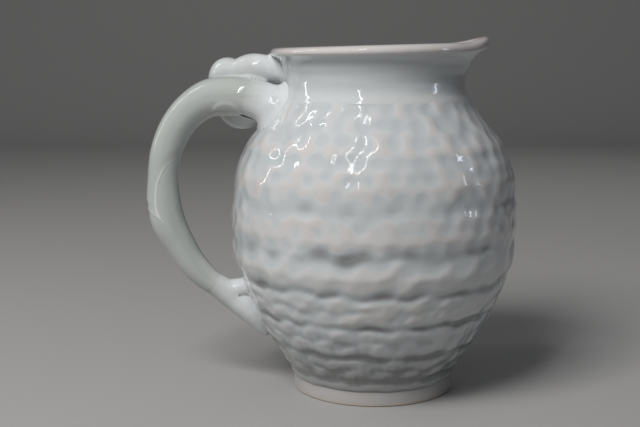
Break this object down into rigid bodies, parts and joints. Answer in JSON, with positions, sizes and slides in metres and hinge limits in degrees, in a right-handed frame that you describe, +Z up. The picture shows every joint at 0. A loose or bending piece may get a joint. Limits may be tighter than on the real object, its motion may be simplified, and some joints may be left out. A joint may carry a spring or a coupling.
{
  "type": "ceramic pitcher",
  "caption": "Round celadon-glazed pitcher with dimpled rings, a smooth neck with a pulled spout, a turned foot and a knotted branch handle.",
  "frame": {"origin": "on the surface the pitcher stands on, at the middle of its footprint with the handle; the pot's own axis is at x = +0.02475 m", "axes": "+X from the handle towards the spout, +Z up along the pot's axis, +Y to the left when looking along +X"},
  "size_m": [0.2174, 0.1678, 0.2055],
  "materials": {
    "celadon_glaze": "glossy pale celadon, bluer where it pools",
    "handle_glaze": "glossy pale celadon, slightly greener",
    "foot_glaze": "thin pinkish-white glaze, wiped to bare clay on the resting ring"
  },
  "bodies": {
    "root": {"belly_shell": "celadon_glaze", "neck_collar": "celadon_glaze", "foot_ring": "foot_glaze", "handle_branch": "handle_glaze", "handle_sheath": "handle_glaze", "knot_tendril": "handle_glaze", "handle_upper_collar": "handle_glaze", "handle_lower_terminal": "handle_glaze"}
  },
  "joints": []
}
